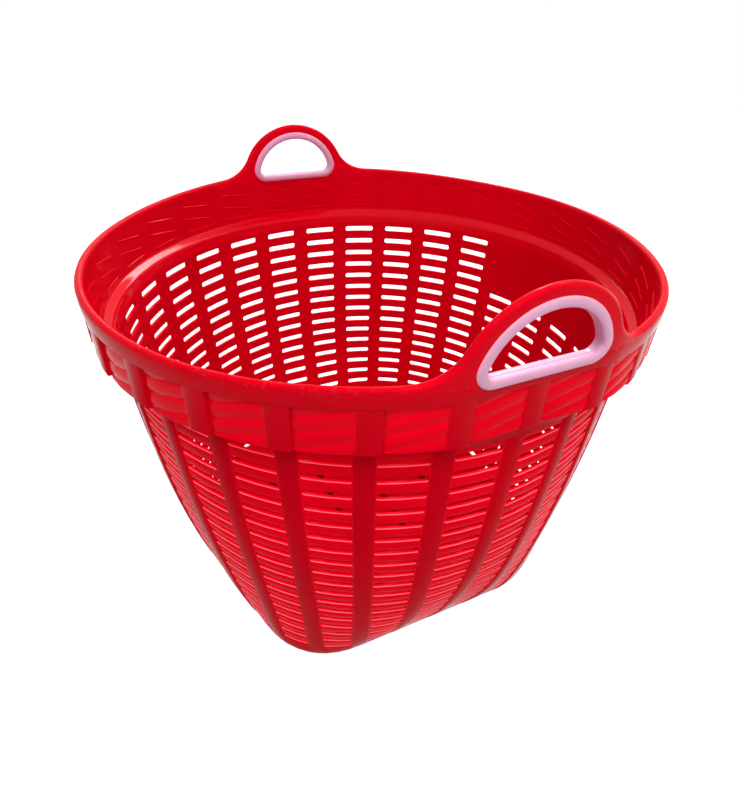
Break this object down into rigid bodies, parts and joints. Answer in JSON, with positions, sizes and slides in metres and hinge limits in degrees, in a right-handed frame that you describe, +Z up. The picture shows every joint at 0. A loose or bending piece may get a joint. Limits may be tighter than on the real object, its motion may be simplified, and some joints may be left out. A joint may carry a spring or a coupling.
{
  "type": "fish basket",
  "caption": "Moulded plastic fish basket with an oval mouth, a square base, slatted see-through walls, a banded collar and lined hand grips on opposite sides.",
  "frame": {"origin": "centre of the base, on the face that the basket stands on", "axes": "+Z up through the mouth, +X through the front handle, +Y through the side with the plain label panel"},
  "size_m": [0.5118, 0.54, 0.45],
  "materials": {
    "basket": "smooth glossy red moulded polypropylene",
    "grip_liner": "smooth white moulded plastic, slightly translucent"
  },
  "bodies": {
    "root": {"floor": "basket", "wall_lower_front_1": "basket", "wall_lower_front_2": "basket", "wall_lower_front_3": "basket", "wall_lower_front_right_corner": "basket", "wall_lower_right_1": "basket", "wall_lower_right_2": "basket", "wall_lower_right_3": "basket", "wall_lower_right_rear_corner": "basket", "wall_lower_rear_1": "basket", "wall_lower_rear_2": "basket", "wall_lower_rear_3": "basket", "wall_lower_rear_left_corner": "basket", "wall_lower_left_1": "basket", "wall_lower_left_2": "basket", "wall_lower_left_3": "basket", "wall_lower_left_front_corner": "basket", "wall_upper_front_1": "basket", "wall_upper_front_2": "basket", "wall_upper_front_3": "basket", "wall_upper_front_right_corner": "basket", "wall_upper_right_1": "basket", "wall_upper_right_2": "basket", "wall_upper_right_3": "basket", "wall_upper_right_rear_corner": "basket", "wall_upper_rear_1": "basket", "wall_upper_rear_2": "basket", "wall_upper_rear_3": "basket", "wall_upper_rear_left_corner": "basket", "wall_upper_left_1": "basket", "wall_upper_left_2": "basket", "wall_upper_left_3": "basket", "wall_upper_left_front_corner": "basket", "collar_front_1": "basket", "collar_front_2": "basket", "collar_front_3": "basket", "collar_front_right_corner": "basket", "collar_right_1": "basket", "collar_right_2": "basket", "collar_right_3": "basket", "collar_right_rear_corner": "basket", "collar_rear_1": "basket", "collar_rear_2": "basket", "collar_rear_3": "basket", "collar_rear_left_corner": "basket", "collar_left_1": "basket", "collar_left_2": "basket", "collar_left_3": "basket", "collar_left_front_corner": "basket", "handle_front": "basket", "grip_front_outer": "grip_liner", "grip_front_inner": "grip_liner", "handle_rear": "basket", "grip_rear_outer": "grip_liner", "grip_rear_inner": "grip_liner"}
  },
  "joints": []
}
